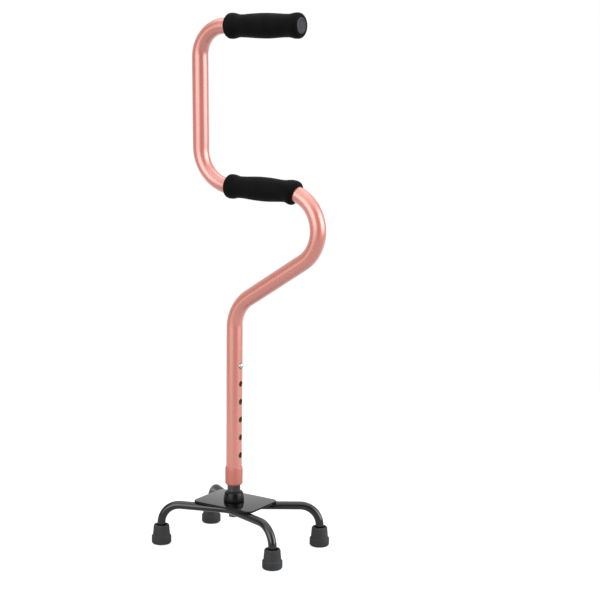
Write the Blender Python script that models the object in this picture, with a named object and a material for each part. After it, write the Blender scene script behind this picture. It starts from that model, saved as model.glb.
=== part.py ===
"""Quad walking cane: two foam grips on a swept-back bow, a push-button height adjuster and a
four-legged steel base.

Units: the constants are millimetres, the Blender scene is metres. The origin is on the floor,
under the centre of the object's bounding box. The grips point along +X, which is also the long
side of the base; the front of the base faces -Y and +Z is up. Shapes are written about the shaft
axis, which stands at (SHAFT_X, SHAFT_Y), and are carried there by their parents.
"""

import math

import bmesh
import bpy
from mathutils import Matrix, Vector

MM = 0.001

# ---------------------------------------------------------------- driving dimensions, mm
FOOT_PITCH_X, FOOT_PITCH_Y = 186.4, 117.6  # between leg tip centres
BASE_OFFSET_Y = 16.24  # centre of the four tips from the shaft axis
SHAFT_X, SHAFT_Y = -17.75, -BASE_OFFSET_Y

TUBE_R, TUBE_BORE = 11.0, 9.9  # bent handle tube
TUBE_BOTTOM_Z = 97.0
INNER_R, INNER_BORE = 9.0, 7.6  # lower telescopic tube
INNER_BOTTOM_Z, INNER_TOP_Z = 66.6, 284.0

BUTTON_Z = 258.0  # also the height of the topmost hole
HEIGHT_STEP = 25.0
HEIGHT_HOLES = 6
HOLE_R = 4.1
HOLE_CUT_X = 4.0  # where the hole cutters start, inside the tubes
BUTTON_R = 3.6
BUTTON_TIP_X = 13.6

# corners of the bow's centre line, (x, z), where its straight runs would meet without bends
LOWER_BEND = (0.0, 337.9)
RIGHT_BEND = (247.9, 498.4)
LOWER_BACK_BEND = (-56.1, 501.7)
UPPER_BACK_BEND = (-59.1, 711.95)
TUBE_END = (99.4, 713.7)
BEND_R = 50.0
TOP_BEND_R = 40.0

UPPER_GRIP_X = (-12.5, 102.9)
LOWER_GRIP_X = (-11.4, 98.9)
GRIP_BORE = 11.3
GRIP_COUNTERBORE = 11.95  # at the +X end of the upper grip
GRIP_END_ROUND_R = 5.2

COLLAR_Z = (90.3, 116.1)
COLLAR_R = 12.2
COLLET_Z = TUBE_BOTTOM_Z - 2.4

PLATE_TOP_Z, PLATE_T = 66.0, 2.8
PLATE_BOTTOM_Z = PLATE_TOP_Z - PLATE_T
PLATE_X = (-49.2, 48.0)
PLATE_Y = (-30.9, 39.8)
PLATE_CORNER_R = 9.0
PLATE_HOLE_R = 4.5
PLATE_EDGE_BEVEL = 0.5

HUB_H = 80.8 - PLATE_TOP_Z
BOLT_R = 4.0
BOLT_TOP_Z = 87.2
BOLT_FLANGE_Z = 50.8  # upper face of the bolt's flange
BOLT_SLEEVE_BORE = 4.35  # bore of the tube insert and of the spacer
SPACER_R = 6.2
SPACER_GAP = 0.3

LEG_R, LEG_BORE = 5.75, 4.55
LEG_Z = 57.0
LEG_END_Z = 7.3
LEG_BEND_R = 28.0
FRONT_VERTEX_Y, REAR_VERTEX_Y = -11.0, 12.0  # corner of each leg bow under the hub
VERTEX_BEND_R = 30.0

TIP_H, TIP_R = 27.0, 13.75

# facets round each section, and the largest step round a bend in degrees
SHAFT_SEGS = 20
HUB_SEGS = 24
FASTENER_SEGS = 16
HOLE_SEGS = 14
LEG_SEGS = 12
BOW_STEP_DEG = 12.0
LEG_STEP_DEG = 13.0
GRIP_STEP_DEG = 5.0
GRIP_STEPS = 15  # along a grip between its rounded ends

Z_TO_X = Matrix.Rotation(math.radians(90), 4, "Y")


# ---------------------------------------------------------------- scene objects
def empty(name, at=(0, 0, 0), parent=None):
    made = bpy.data.objects.new(name, None)
    made.location = Vector(at) * MM
    made.parent = parent
    bpy.context.scene.collection.objects.link(made)
    return made


def placed(name, mesh, parent, at=(0, 0, 0)):
    """An object at the point at, measured from the foot of the shaft axis."""
    made = bpy.data.objects.new(name, mesh)
    bpy.context.scene.collection.objects.link(made)
    made.parent = parent
    made.location = Vector(at) * MM - parent.location
    return made


def finished(name, bm, material=None, smooth=True):
    """A mesh from a bmesh in millimetres, scaled to metres, with its normals facing out."""
    bmesh.ops.remove_doubles(bm, verts=bm.verts, dist=1e-5)
    bmesh.ops.recalc_face_normals(bm, faces=bm.faces)
    bmesh.ops.scale(bm, vec=(MM, MM, MM), verts=bm.verts)
    mesh = bpy.data.meshes.new(name)
    bm.to_mesh(mesh)
    bm.free()
    if smooth:
        mesh.shade_smooth()
        mesh.set_sharp_from_angle(angle=math.radians(35))
    if material:
        mesh.materials.append(material)
    return mesh


def piece(name, bm, material, parent, at=(0, 0, 0)):
    return placed(name, finished(name, bm, material), parent, at)


def combine(target, operation, name, bm, at=(0, 0, 0), smooth=True):
    """Cuts or joins the target with a hidden helper that shares its parent."""
    helper = placed(name, finished(name, bm, smooth=smooth), target.parent, at)
    helper.hide_render = True
    helper.display_type = "WIRE"
    modifier = target.modifiers.new(operation.lower() + "_" + name, "BOOLEAN")
    modifier.operation = operation
    modifier.solver = "EXACT"
    modifier.object = helper


# ---------------------------------------------------------------- shapes
def circle(segs):
    angles = [2 * math.pi * k / segs for k in range(segs)]
    return [(math.cos(a), math.sin(a)) for a in angles]


def bridge(bm, ring, next_ring):
    """Faces between two rings; a ring of one vertex closes to a point."""
    count = max(len(ring), len(next_ring))
    if count == 1:
        return
    for k in range(count):
        n = (k + 1) % count
        corners = [
            ring[k % len(ring)],
            ring[n % len(ring)],
            next_ring[n % len(next_ring)],
            next_ring[k % len(next_ring)],
        ]
        bm.faces.new(list(dict.fromkeys(corners)))


def bridge_loop(bm, rings):
    """Joins each ring to the next and the last to the first."""
    for ring, next_ring in zip(rings, rings[1:] + rings[:1]):
        bridge(bm, ring, next_ring)


def turned(profile, segs=SHAFT_SEGS, turn=None, bm=None):
    """Spins a closed (radius, height) profile about Z. A radius of 0 is one point on the axis."""
    if bm is None:
        bm = bmesh.new()
    rings = []
    for r, z in profile:
        points = [(r * c, r * s, z) for c, s in circle(segs)] if r else [(0, 0, z)]
        rings.append([bm.verts.new(point) for point in points])
    bridge_loop(bm, rings)
    if turn is not None:
        bmesh.ops.transform(bm, matrix=turn, verts=[v for ring in rings for v in ring])
    return bm


def wall(bore, radius, bottom, top):
    """The profile of a plain sleeve, or of a rod where the bore is 0."""
    return [(bore, bottom), (radius, bottom), (radius, top), (bore, top)]


def radial_hole(z, depth, bm=None):
    """A cutter that points along +X at height z."""
    turn = Matrix.Translation((HOLE_CUT_X, 0, z)) @ Z_TO_X
    return turned(wall(0, HOLE_R, 0, depth), HOLE_SEGS, turn, bm)


class Path:
    """Straight runs joined by circular bends, through corner points in space."""

    def __init__(self, corners, radii):
        """Each part is (origin, direction, length, bend); a bend is (inward, radius) or None."""
        points = [Vector(corner) for corner in corners]
        self.parts = []
        here = points[0]
        for before, corner, after, radius in zip(points, points[1:], points[2:], radii):
            come = (corner - before).normalized()
            go = (after - corner).normalized()
            angle = come.angle(go)
            reach = radius * math.tan(angle / 2)
            start = corner - come * reach
            self.parts.append((here, come, (start - here).length, None))
            inward = (go - come * come.dot(go)).normalized()
            self.parts.append((start + inward * radius, come, radius * angle, (inward, radius)))
            here = corner + go * reach
        last = points[-1] - here
        self.parts.append((here, last.normalized(), last.length, None))
        self.length = sum(part[2] for part in self.parts)

    def at(self, distance):
        """(point, tangent) at a distance along the path; it runs on straight past either end."""
        for part in self.parts:
            origin, way, length, bend = part
            if distance <= length or part is self.parts[-1]:
                break
            distance -= length
        if bend is None:
            return origin + way * distance, way
        inward, radius = bend
        turn = distance / radius
        return (
            origin - inward * radius * math.cos(turn) + way * radius * math.sin(turn),
            way * math.cos(turn) + inward * math.sin(turn),
        )

    def stations(self, start, end, step_deg):
        """Distances from start to end: both of these, and steps round each bend between them."""
        marks = {start, end}
        base = 0.0
        for _, _, length, bend in self.parts:
            if bend:
                steps = max(2, math.ceil(math.degrees(length / bend[1]) / step_deg))
                for k in range(steps + 1):
                    marks.add(base + length * k / steps)
            base += length
        kept = []
        for mark in sorted(m for m in marks if start <= m <= end):
            if not kept or mark - kept[-1] > 1e-3:
                kept.append(mark)
        kept[-1] = end
        return kept


def rings_along(bm, path, stations, segs):
    """A ring of vertices at each (distance, radius), in order; the first starts towards +Y."""
    side = Vector((0, 1, 0))
    rings = []
    for distance, radius in stations:
        point, way = path.at(distance)
        side = (side - way * side.dot(way)).normalized()
        other = way.cross(side)
        rings.append(
            [
                bm.verts.new(point + side * (radius * c) + other * (radius * s))
                for c, s in circle(segs)
            ]
        )
    return rings


def swept(path, outer, inner, segs=SHAFT_SEGS):
    """A hollow body along a path. outer and inner list (distance, radius) in rising order."""
    bm = bmesh.new()
    outside = rings_along(bm, path, outer, segs)
    inside = rings_along(bm, path, inner, segs)
    bridge_loop(bm, outside + inside[::-1])
    return bm


def swept_tube(path, radius, bore, step_deg, segs):
    marks = path.stations(0.0, path.length, step_deg)
    return swept(path, [(m, radius) for m in marks], [(m, bore) for m in marks], segs)


def eased(table, x):
    """A curve through (position, value) pairs, with zero slope at each of them."""
    for (x0, y0), (x1, y1) in zip(table, table[1:]):
        if x <= x1:
            t = (x - x0) / (x1 - x0)
            return y0 + (y1 - y0) * (3 * t * t - 2 * t * t * t)
    return table[-1][1]


# ---------------------------------------------------------------- clean scene and axes
for old in list(bpy.data.objects):
    bpy.data.objects.remove(old, do_unlink=True)

STAND = empty("shaft_foot", (SHAFT_X, SHAFT_Y, 0))
BASE = empty("base_axis", parent=STAND)
HANDLE = empty("handle_axis", parent=STAND)
BUTTON = empty("button_axis", (0, 0, BUTTON_Z), STAND)
COLLAR = empty("collar_axis", (0, 0, COLLAR_Z[0]), STAND)


# ---------------------------------------------------------------- materials
def paint(name, color, roughness, metallic=0.0):
    made = bpy.data.materials.new(name)
    made.use_nodes = True
    shader = made.node_tree.nodes["Principled BSDF"]
    shader.inputs["Base Color"].default_value = (*color, 1.0)
    shader.inputs["Roughness"].default_value = roughness
    shader.inputs["Metallic"].default_value = metallic
    made.diffuse_color = (*color, 1.0)
    return made


ROSE = paint("rose_metallic_paint", color=(0.62, 0.235, 0.205), roughness=0.34, metallic=0.55)
ROSE_RING = paint("rose_collar_paint", color=(0.60, 0.22, 0.19), roughness=0.38, metallic=0.5)
FOAM = paint("black_foam", color=(0.012, 0.012, 0.014), roughness=0.85)
SLATE = paint("slate_plug_plastic", color=(0.07, 0.085, 0.10), roughness=0.55)
GREY_TUBE = paint(
    "dark_anodised_tube", color=(0.045, 0.047, 0.052), roughness=0.42, metallic=0.8
)
NYLON = paint("natural_nylon", color=(0.60, 0.59, 0.55), roughness=0.5)
STEEL = paint("nickel_plated_steel", color=(0.62, 0.62, 0.63), roughness=0.28, metallic=1.0)
GLOSS = paint("gloss_black_hub", color=(0.01, 0.01, 0.011), roughness=0.12)
PLATE = paint("gloss_charcoal_plate", color=(0.045, 0.043, 0.044), roughness=0.2, metallic=0.3)
LEG = paint("charcoal_leg_paint", color=(0.035, 0.034, 0.035), roughness=0.26, metallic=0.35)
RUBBER = paint("charcoal_rubber", color=(0.045, 0.047, 0.05), roughness=0.8)
ZINC = paint("zinc_plated_steel", color=(0.42, 0.41, 0.38), roughness=0.4, metallic=1.0)


# ---------------------------------------------------------------- bent handle tube
BOW_CORNERS = (LOWER_BEND, RIGHT_BEND, LOWER_BACK_BEND, UPPER_BACK_BEND, TUBE_END)
BOW = Path(
    [(0, 0, TUBE_BOTTOM_Z)] + [(x, 0, z) for x, z in BOW_CORNERS],
    [BEND_R, BEND_R, BEND_R, TOP_BEND_R],
)


def build_handle_tube():
    """The bow, with a column of height holes down its +X side."""
    bm = swept_tube(BOW, TUBE_R, TUBE_BORE, BOW_STEP_DEG, SHAFT_SEGS)
    tube = piece("handle_tube", bm, ROSE, HANDLE)
    holes = bmesh.new()
    for step in range(HEIGHT_HOLES):
        radial_hole(BUTTON_Z - HEIGHT_STEP * step, 10, holes)
    combine(tube, "DIFFERENCE", "height_hole_cutters", holes)


# ---------------------------------------------------------------- foam grips
def grip_outline(x_range, flare_0, neck_0, bulge, neck_1, flare_1):
    """(x, radius) along a grip: rounded flared ends, a neck inside each, a swelling between."""
    x0, x1 = x_range
    middle = (x0 + x1) / 2
    table = [
        (x0 + 5.5, flare_0),
        (x0 + 8.0, flare_0),
        (x0 + 19.5, neck_0),
        (middle - 2, bulge),
        (middle + 4, bulge),
        (x1 - 20.0, neck_1),
        (x1 - 7.5, flare_1),
        (x1 - 5.5, flare_1),
    ]
    outline = []
    for k in range(GRIP_STEPS + 1):
        x = table[0][0] + (table[-1][0] - table[0][0]) * k / GRIP_STEPS
        outline.append((x, eased(table, x)))
    for end_x, inward, flare in ((x0, 1, flare_0), (x1, -1, flare_1)):
        for angle in (0, 30, 60):
            a = math.radians(angle)
            x = end_x + inward * GRIP_END_ROUND_R * (1 - math.cos(a))
            outline.append((x, flare - GRIP_END_ROUND_R + GRIP_END_ROUND_R * math.sin(a)))
    return outline


def build_upper_grip():
    """The grip on the last run of the bow, which heads towards +X."""
    outline = grip_outline(
        UPPER_GRIP_X, flare_0=17.0, neck_0=14.9, bulge=16.5, neck_1=15.0, flare_1=16.8
    )
    x0, x1 = UPPER_GRIP_X
    bore = [
        (x0, GRIP_BORE),
        (x1 - 5.0, GRIP_BORE),
        (x1 - 4.0, GRIP_COUNTERBORE),
        (x1, GRIP_COUNTERBORE),
    ]
    zero = BOW.length - TUBE_END[0]  # distance along the bow at x = 0
    outer = sorted((zero + x, r) for x, r in outline)
    inner = [(zero + x, r) for x, r in bore]
    piece("upper_grip", swept(BOW, outer, inner), FOAM, HANDLE)


def build_lower_grip():
    """The grip on the run of the bow that heads towards -X; it reaches into the next bend."""
    outline = grip_outline(
        LOWER_GRIP_X, flare_0=16.5, neck_0=14.6, bulge=16.2, neck_1=14.6, flare_1=16.5
    )
    x0, x1 = LOWER_GRIP_X
    bend_end = sum(part[2] for part in BOW.parts[:4])  # two runs and two bends come before it
    zero = bend_end + BOW.at(bend_end)[0].x
    outer = sorted((zero - x, r) for x, r in outline)
    inner = [(s, GRIP_BORE) for s in BOW.stations(zero - x1, zero - x0, GRIP_STEP_DEG)]
    piece("lower_grip", swept(BOW, outer, inner), FOAM, HANDLE)


def build_end_plug():
    """A hollow plug in the open end of the bow; its profile is measured from the tube's end."""
    profile = [
        (0, 3.6), (8.0, 3.5), (10.8, 3.1), (11.6, 2.4), (11.6, 0.3), (9.6, 0.3),
        (9.6, -11.0), (9.0, -12.5), (7.2, -12.5), (7.2, -2.0), (0, -2.0),
    ]
    tangent = BOW.at(BOW.length)[1]
    aim = tangent.to_track_quat("Z", "X").to_matrix().to_4x4()
    turn = Matrix.Translation((TUBE_END[0], 0, TUBE_END[1])) @ aim
    piece("tube_end_plug", turned(profile, turn=turn), SLATE, HANDLE)


# ---------------------------------------------------------------- locking collar and collet
def build_collar():
    height = COLLAR_Z[1] - COLLAR_Z[0]
    profile = [
        (9.5, 0.0), (10.4, 0.0), (11.4, 0.6), (COLLAR_R, 2.2), (COLLAR_R, height - 3.2),
        (11.8, height - 0.6), (11.4, height), (11.25, height), (11.25, 4.3), (10.2, 3.1),
        (9.5, 2.7),
    ]
    piece("locking_collar", turned(profile), ROSE_RING, COLLAR, (0, 0, COLLAR_Z[0]))


def build_collet():
    """A flanged bush at the bottom of the handle tube, slit at three places."""
    profile = [
        (9.25, -1.0), (9.8, -1.0), (10.6, -0.2), (10.6, 2.0), (9.65, 2.1), (9.65, 30.0),
        (9.25, 30.0),
    ]
    at = (0, 0, COLLET_Z)
    collet = piece("collet_bush", turned(profile), NYLON, HANDLE, at)
    slit = Matrix.Translation((10, 0, 3.0)) @ Matrix.Diagonal((6, 1.2, 14.0, 1))
    slits = bmesh.new()
    for k in range(3):
        turn = Matrix.Rotation(math.radians(120 * k + 63), 4, "Z")
        bmesh.ops.create_cube(slits, size=1.0, matrix=turn @ slit)
    combine(collet, "DIFFERENCE", "collet_slit_cutters", slits, at, smooth=False)


# ---------------------------------------------------------------- lower tube and snap button
def build_inner_tube():
    profile = wall(INNER_BORE, INNER_R, INNER_BOTTOM_Z, INNER_TOP_Z)
    tube = piece("inner_tube", turned(profile), GREY_TUBE, BASE)
    combine(tube, "DIFFERENCE", "button_hole_cutter", radial_hole(BUTTON_Z, 8))


def build_guide_bush():
    """A flanged bush in the top of the lower tube."""
    profile = [
        (5.6, -8.0), (7.2, -8.0), (7.2, 0.3), (9.6, 0.3), (9.6, 3.3), (9.0, 4.0), (5.6, 4.0),
    ]
    piece("guide_bush", turned(profile), NYLON, BASE, (0, 0, INNER_TOP_Z))


def strip(points, thickness, width):
    """A bent strip that follows (x, z) points, with its width along Y."""
    bm = bmesh.new()
    half = width / 2
    rings = []
    for k, (x, z) in enumerate(points):
        back = Vector(points[max(k - 1, 0)])
        front = Vector(points[min(k + 1, len(points) - 1)])
        way = (front - back).normalized()
        off = Vector((-way[1], way[0])) * thickness / 2
        rings.append(
            [
                bm.verts.new((x + sign * off[0], y, z + sign * off[1]))
                for sign, y in ((-1, -half), (1, -half), (1, half), (-1, half))
            ]
        )
    for ring, next_ring in zip(rings, rings[1:]):
        bridge(bm, ring, next_ring)
    bm.faces.new(list(reversed(rings[0])))
    bm.faces.new(rings[-1])
    return bm


def build_snap_button():
    """A V-shaped spring strip, open at the top, with the button head on its +X leg."""
    leg_top, apex_z, turn_r = 12.0, -34.0, 2.2  # heights are from the button's axis
    curve = [(5.9, leg_top), (6.0, 6.0), (6.0, -6.0), (turn_r + 0.5, apex_z + 6)]
    for angle in (0, -45, -90, -135, -180):
        a = math.radians(angle)
        curve.append((turn_r * math.cos(a), apex_z + turn_r * math.sin(a)))
    curve += [(-turn_r - 0.5, apex_z + 6), (-6.4, -6.0), (-6.4, leg_top)]
    at = (0, 0, BUTTON_Z)
    clip = piece("snap_button_clip", strip(curve, thickness=0.7, width=6.0), STEEL, BUTTON, at)
    head = [
        (0, 5.85), (BUTTON_R, 5.85), (BUTTON_R, BUTTON_TIP_X - 2.0),
        (BUTTON_R * 0.9, BUTTON_TIP_X - 1.05), (BUTTON_R * 0.62, BUTTON_TIP_X - 0.35),
        (0, BUTTON_TIP_X),
    ]
    combine(clip, "UNION", "button_head", turned(head, HOLE_SEGS, Z_TO_X), at)


# ---------------------------------------------------------------- hub and its fastening
def build_hub():
    profile = [
        (9.3, 0.3), (13.9, 0.3), (14.3, 1.1), (14.35, 3.0), (14.1, 5.2), (13.75, 8.0),
        (13.4, 10.8), (12.9, 12.4), (12.1, 13.6), (11.0, HUB_H - 0.4), (10.0, HUB_H),
        (9.3, HUB_H),
    ]
    piece("base_hub", turned(profile, HUB_SEGS), GLOSS, BASE, (0, 0, PLATE_TOP_Z))


def build_tube_insert():
    """A sleeve in the bottom of the lower tube, round the bolt."""
    profile = [
        (BOLT_SLEEVE_BORE, 0), (7.3, 0), (7.3, 22.0), (6.6, 23.0), (BOLT_SLEEVE_BORE, 23.0),
    ]
    piece("tube_insert", turned(profile, FASTENER_SEGS), ZINC, BASE, (0, 0, INNER_BOTTOM_Z))


def build_bolt():
    """The upright hub bolt, with its flange and hexagon head at the bottom."""
    z = BOLT_FLANGE_Z
    shank = [
        (0, z - 2.2), (7.9, z - 2.2), (7.9, z - 0.7), (7.3, z), (BOLT_R, z),
        (BOLT_R, BOLT_TOP_Z - 1.0), (3.2, BOLT_TOP_Z), (0, BOLT_TOP_Z),
    ]
    bolt = piece("hub_bolt", turned(shank, FASTENER_SEGS), ZINC, BASE)
    hexagon = [(0, z - 6.7), (6.6, z - 6.7), (7.5, z - 6.0), (7.5, z - 1.4), (0, z - 1.4)]
    combine(bolt, "UNION", "bolt_hexagon", turned(hexagon, 6), smooth=False)


def build_spacer():
    """The sleeve round the bolt, between its flange and the plate."""
    profile = wall(
        BOLT_SLEEVE_BORE, SPACER_R, BOLT_FLANGE_Z + SPACER_GAP, PLATE_BOTTOM_Z - SPACER_GAP
    )
    piece("spacer_sleeve", turned(profile, FASTENER_SEGS), ZINC, BASE)


# ---------------------------------------------------------------- base plate
def plate_outline():
    """(x, y) round the plate, anticlockwise from its +X, -Y corner."""
    left, right = PLATE_X[0] + PLATE_CORNER_R, PLATE_X[1] - PLATE_CORNER_R
    front, rear = PLATE_Y[0] + PLATE_CORNER_R, PLATE_Y[1] - PLATE_CORNER_R
    corners = ((right, front, -90), (right, rear, 0), (left, rear, 90), (left, front, 180))
    outline = []
    for x, y, first_angle in corners:
        for k in range(7):
            a = math.radians(first_angle + 15 * k)
            outline.append((x + PLATE_CORNER_R * math.cos(a), y + PLATE_CORNER_R * math.sin(a)))
    return outline


def build_plate():
    bm = bmesh.new()
    face = bm.faces.new([bm.verts.new((x, y, PLATE_BOTTOM_Z)) for x, y in plate_outline()])
    raised = bmesh.ops.extrude_face_region(bm, geom=[face])
    top = [v for v in raised["geom"] if isinstance(v, bmesh.types.BMVert)]
    bmesh.ops.translate(bm, vec=(0, 0, PLATE_T), verts=top)
    plate = piece("base_plate", bm, PLATE, BASE)
    hole = turned(wall(0, PLATE_HOLE_R, -3, 3), FASTENER_SEGS)
    at = (0, 0, PLATE_TOP_Z - PLATE_T / 2)
    combine(plate, "DIFFERENCE", "bolt_hole_cutter", hole, at)
    bevel = plate.modifiers.new("edge", "BEVEL")
    bevel.width = PLATE_EDGE_BEVEL * MM
    bevel.segments = 1
    bevel.limit_method = "ANGLE"
    bevel.angle_limit = math.radians(50)


# ---------------------------------------------------------------- legs and tips
FOOT_X = FOOT_PITCH_X / 2
FRONT_Y = BASE_OFFSET_Y - FOOT_PITCH_Y / 2
REAR_Y = BASE_OFFSET_Y + FOOT_PITCH_Y / 2


def build_leg_bow(name, vertex_y, foot_y):
    """One tube from foot to foot: down-turned ends, two arms, and a bend under the hub."""
    run = Path(
        [
            (-FOOT_X, foot_y, LEG_END_Z),
            (-FOOT_X, foot_y, LEG_Z),
            (0, vertex_y, LEG_Z),
            (FOOT_X, foot_y, LEG_Z),
            (FOOT_X, foot_y, LEG_END_Z),
        ],
        [LEG_BEND_R, VERTEX_BEND_R, LEG_BEND_R],
    )
    piece(name, swept_tube(run, LEG_R, LEG_BORE, LEG_STEP_DEG, LEG_SEGS), LEG, BASE)


def build_tips():
    """Four rubber tips, each with a steel disc in the bottom of its socket."""
    profile = [
        (0, 0), (11.6, 0), (13.0, 0.8), (TIP_R, 2.6), (TIP_R, 10.4), (13.2, 11.3),
        (12.0, 11.5), (11.0, 25.2), (10.3, 26.6), (9.3, TIP_H), (8.4, 26.6), (6.25, 22.5),
        (6.25, 4.9), (0, 4.9),
    ]
    tip = finished("rubber_tip", turned(profile), RUBBER)
    disc = finished("tip_disc", turned(wall(0, 5.9, 5.2, 6.9), FASTENER_SEGS), ZINC)
    for place, x, y in (
        ("front_left", -FOOT_X, FRONT_Y),
        ("front_right", FOOT_X, FRONT_Y),
        ("rear_right", FOOT_X, REAR_Y),
        ("rear_left", -FOOT_X, REAR_Y),
    ):
        placed("tip_" + place, tip, BASE, (x, y, 0))
        placed("tip_disc_" + place, disc, BASE, (x, y, 0))


build_handle_tube()
build_upper_grip()
build_lower_grip()
build_end_plug()
build_collar()
build_collet()
build_inner_tube()
build_guide_bush()
build_snap_button()
build_hub()
build_tube_insert()
build_bolt()
build_spacer()
build_plate()
build_leg_bow("front_leg_bow", FRONT_VERTEX_Y, FRONT_Y)
build_leg_bow("rear_leg_bow", REAR_VERTEX_Y, REAR_Y)
build_tips()
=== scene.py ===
"""Looks of the quad walking cane: fine meshes and materials, a pale floor, studio light and a camera.

The shaft stands upright along Z over four rubber feet. The handle tube bends in the XZ plane, its
open end and its button holes facing +X. The front of the base is towards -Y.
Pieces are modelled in millimetres about the foot of the shaft's axis.
"""

import math
import random
from collections import namedtuple

import bmesh
import bpy
from mathutils import Matrix, Vector, noise


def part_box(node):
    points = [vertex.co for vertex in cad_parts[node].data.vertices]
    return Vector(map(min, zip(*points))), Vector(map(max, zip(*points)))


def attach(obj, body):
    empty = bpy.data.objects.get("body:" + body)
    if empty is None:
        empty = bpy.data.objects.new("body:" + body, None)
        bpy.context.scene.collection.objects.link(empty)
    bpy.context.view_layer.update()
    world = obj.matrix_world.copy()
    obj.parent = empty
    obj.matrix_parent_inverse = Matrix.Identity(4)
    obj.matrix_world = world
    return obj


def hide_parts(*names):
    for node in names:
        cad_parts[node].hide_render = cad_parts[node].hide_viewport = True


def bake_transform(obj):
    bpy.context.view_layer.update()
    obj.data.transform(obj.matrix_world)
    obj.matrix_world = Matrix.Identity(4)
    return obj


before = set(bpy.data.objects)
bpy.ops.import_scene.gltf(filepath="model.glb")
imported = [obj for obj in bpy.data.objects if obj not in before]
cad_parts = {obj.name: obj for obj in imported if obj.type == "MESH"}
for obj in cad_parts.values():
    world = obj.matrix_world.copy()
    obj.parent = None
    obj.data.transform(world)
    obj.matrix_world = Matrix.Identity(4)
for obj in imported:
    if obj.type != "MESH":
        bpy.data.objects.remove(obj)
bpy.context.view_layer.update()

MM = 0.001
random.seed(7)


# ------------------------------------------------------------------ places read from the frame, in mm
def z_range(node):
    low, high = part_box(node)
    return low.z / MM, high.z / MM


def foot_of(node):
    """The middle of a node's box, put down to the floor."""
    low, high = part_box(node)
    return Vector(((low.x + high.x) / 2, (low.y + high.y) / 2, 0)) / MM


SHAFT = foot_of("inner_tube")
INNER_BOTTOM, INNER_TOP = z_range("inner_tube")
TUBE_BOTTOM = z_range("handle_tube")[0]
COLLAR_LOW, COLLAR_HIGH = z_range("locking_collar")
BOLT_LOW, BOLT_TOP = z_range("hub_bolt")
PLATE_LOW, PLATE_HIGH = (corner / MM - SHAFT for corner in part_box("base_plate"))
FEET = {
    foot: foot_of("tip_" + foot) - SHAFT
    for foot in ("front_left", "front_right", "rear_right", "rear_left")
}

# ------------------------------------------------------------------ shared sizes, in mm and degrees
TUBE_R, TUBE_BORE = 11.0, 9.9
INNER_R, INNER_BORE = 9.0, 7.6
# x, z of the handle's corners, the radius of each bend, and how far each bend is flattened
HANDLE_CORNERS = ((0.0, 337.9), (247.9, 498.4), (-56.1, 501.7), (-59.1, 711.95))
HANDLE_BEND_RADII = (50.0, 50.0, 50.0, 40.0)
FLATTENING = (0.62, 0.5, 1.25, 0.8)
TUBE_END = (99.4, 713.7)
BUTTON_Z, HOLE_R, HOLE_STEP, HOLES = 258.0, 4.1, 25.0, 6
LEG_R, LEG_BORE, LEG_Z, LEG_END_Z = 5.75, 4.55, 57.0, 7.3
LEG_BEND_R, VERTEX_BEND_R = 28.0, 30.0
FRONT_VERTEX_Y, REAR_VERTEX_Y = -11.0, 12.0
BEND_STEP = 3.0
SHARP_ANGLE = 32
ROUNDING_STEPS = 4


# ------------------------------------------------------------------ mesh tools
def smooth(mesh, sharp_angle=SHARP_ANGLE):
    mesh.shade_smooth()
    mesh.set_sharp_from_angle(angle=math.radians(sharp_angle))


def finished(name, bm, sharp_angle=SHARP_ANGLE):
    """A linked object from a bmesh: welded, facing out, moved to the shaft and scaled to metres."""
    bmesh.ops.remove_doubles(bm, verts=bm.verts, dist=1e-5)
    bmesh.ops.recalc_face_normals(bm, faces=bm.faces)
    bmesh.ops.translate(bm, vec=SHAFT, verts=bm.verts)
    bmesh.ops.scale(bm, vec=(MM, MM, MM), verts=bm.verts)
    mesh = bpy.data.meshes.new(name)
    bm.to_mesh(mesh)
    bm.free()
    smooth(mesh, sharp_angle)
    made = bpy.data.objects.new(name, mesh)
    bpy.context.scene.collection.objects.link(made)
    return made


def skin(bm, rings, closed=False):
    """Faces between equal rings; closed joins the last ring to the first, else both ends are capped."""
    for ring, following in zip(rings, rings[1:] + (rings[:1] if closed else [])):
        for k in range(len(ring)):
            n = (k + 1) % len(ring)
            bm.faces.new((ring[k], ring[n], following[n], following[k]))
    if not closed:
        bm.faces.new(list(reversed(rings[0])))
        bm.faces.new(rings[-1])


def turned(profile, segments, turn=None, bm=None):
    """Spins a closed (radius, height) profile about Z. A radius of 0 makes one point on the axis."""
    bm = bm or bmesh.new()
    rings = []
    for r, z in profile:
        if r == 0:
            rings.append([bm.verts.new((0, 0, z))])
            continue
        angles = [2 * math.pi * k / segments for k in range(segments)]
        rings.append([bm.verts.new((r * math.cos(a), r * math.sin(a), z)) for a in angles])
    for ring, following in zip(rings, rings[1:] + rings[:1]):
        if len(ring) == 1 and len(following) == 1:
            continue
        for k in range(segments):
            n = (k + 1) % segments
            corners = [
                ring[k % len(ring)], ring[n % len(ring)],
                following[n % len(following)], following[k % len(following)],
            ]
            bm.faces.new(list(dict.fromkeys(corners)))
    if turn is not None:
        bmesh.ops.transform(bm, matrix=turn, verts=[v for ring in rings for v in ring])
    return bm


def rounded(points):
    """A closed profile whose (r, z, radius) corners become arcs; a plain (r, z) stays sharp."""
    made = []
    for k, point in enumerate(points):
        if len(point) == 2:
            made.append(tuple(point))
            continue
        here = Vector(point[:2])
        before = Vector(points[k - 1][:2])
        after = Vector(points[(k + 1) % len(points)][:2])
        to_before, to_after = (before - here).normalized(), (after - here).normalized()
        half = to_before.angle(to_after) / 2
        reach = min(
            point[2] / math.tan(half), (before - here).length * 0.49, (after - here).length * 0.49
        )
        radius = reach * math.tan(half)
        centre = here + (to_before + to_after).normalized() * (radius / math.sin(half))
        start, end = here + to_before * reach - centre, here + to_after * reach - centre
        total = start.angle(end)
        for step in range(ROUNDING_STEPS + 1):
            t = step / ROUNDING_STEPS
            start_share = math.sin((1 - t) * total) / math.sin(total)
            end_share = math.sin(t * total) / math.sin(total)
            p = centre + start * start_share + end * end_share
            made.append((p.x, p.y))
    return made


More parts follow.
